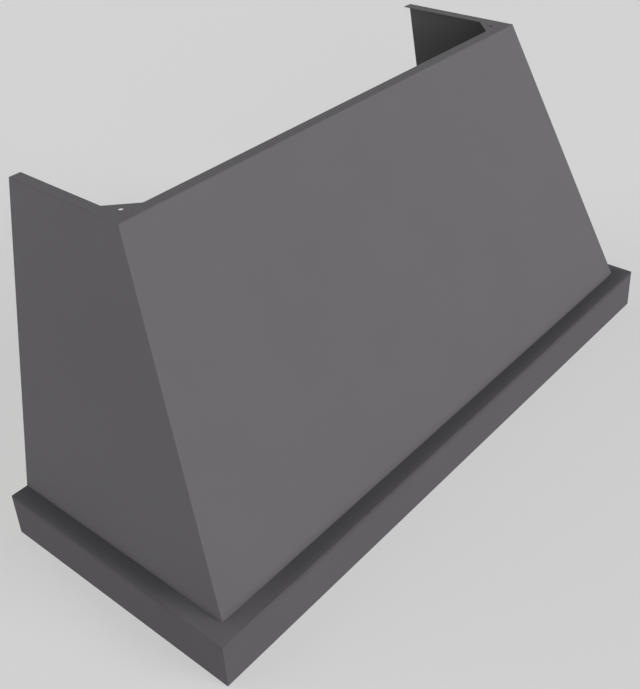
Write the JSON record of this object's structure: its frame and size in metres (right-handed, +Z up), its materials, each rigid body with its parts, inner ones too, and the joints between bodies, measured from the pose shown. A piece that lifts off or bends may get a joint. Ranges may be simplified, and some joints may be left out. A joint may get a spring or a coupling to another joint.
{
  "type": "wooden range hood cover",
  "caption": "Painted wooden range hood cover, tapering from a plain flat apron to a narrower open top, with a screw rail for the wall and rails for a hood insert.",
  "frame": {"origin": "centre of the outside box's footprint, level with the bottom rim", "axes": "+X to the right side seen from the front, +Y to the wall, +Z up"},
  "size_m": [1.524, 0.6096, 0.762],
  "materials": {
    "painted_wood": "smooth matt slate-grey lacquer on wood panels",
    "painted_steel": "the same matt slate-grey lacquer on thin sheet steel",
    "birch_plywood": "bare birch plywood, sanded",
    "poplar": "bare planed poplar",
    "zinc_screws": "bright zinc plate"
  },
  "bodies": {
    "root": {"front_panel": "painted_wood", "left_side_panel": "painted_wood", "right_side_panel": "painted_wood", "apron_front_board": "painted_wood", "apron_left_board": "painted_wood", "apron_right_board": "painted_wood", "base_front_board": "painted_wood", "base_left_board": "painted_wood", "base_right_board": "painted_wood", "top_tie_plate": "painted_steel", "tie_plate_screws": "painted_steel", "base_back_rail": "birch_plywood", "liner_rail_front": "poplar", "liner_rail_back": "poplar", "liner_rail_left": "poplar", "liner_rail_right": "poplar", "top_front_rail": "poplar", "front_rib_left": "poplar", "front_rib_middle": "poplar", "front_rib_right": "poplar", "corner_strip_left": "poplar", "corner_strip_right": "poplar", "front_glue_blocks": "poplar", "left_glue_blocks": "poplar", "right_glue_blocks": "poplar", "wall_rail": "birch_plywood", "wall_rail_block_left": "poplar", "wall_rail_block_right": "poplar", "liner_rail_screws": "zinc_screws", "apron_screws": "zinc_screws", "base_screws": "zinc_screws", "wall_rail_screws": "zinc_screws"}
  },
  "joints": []
}
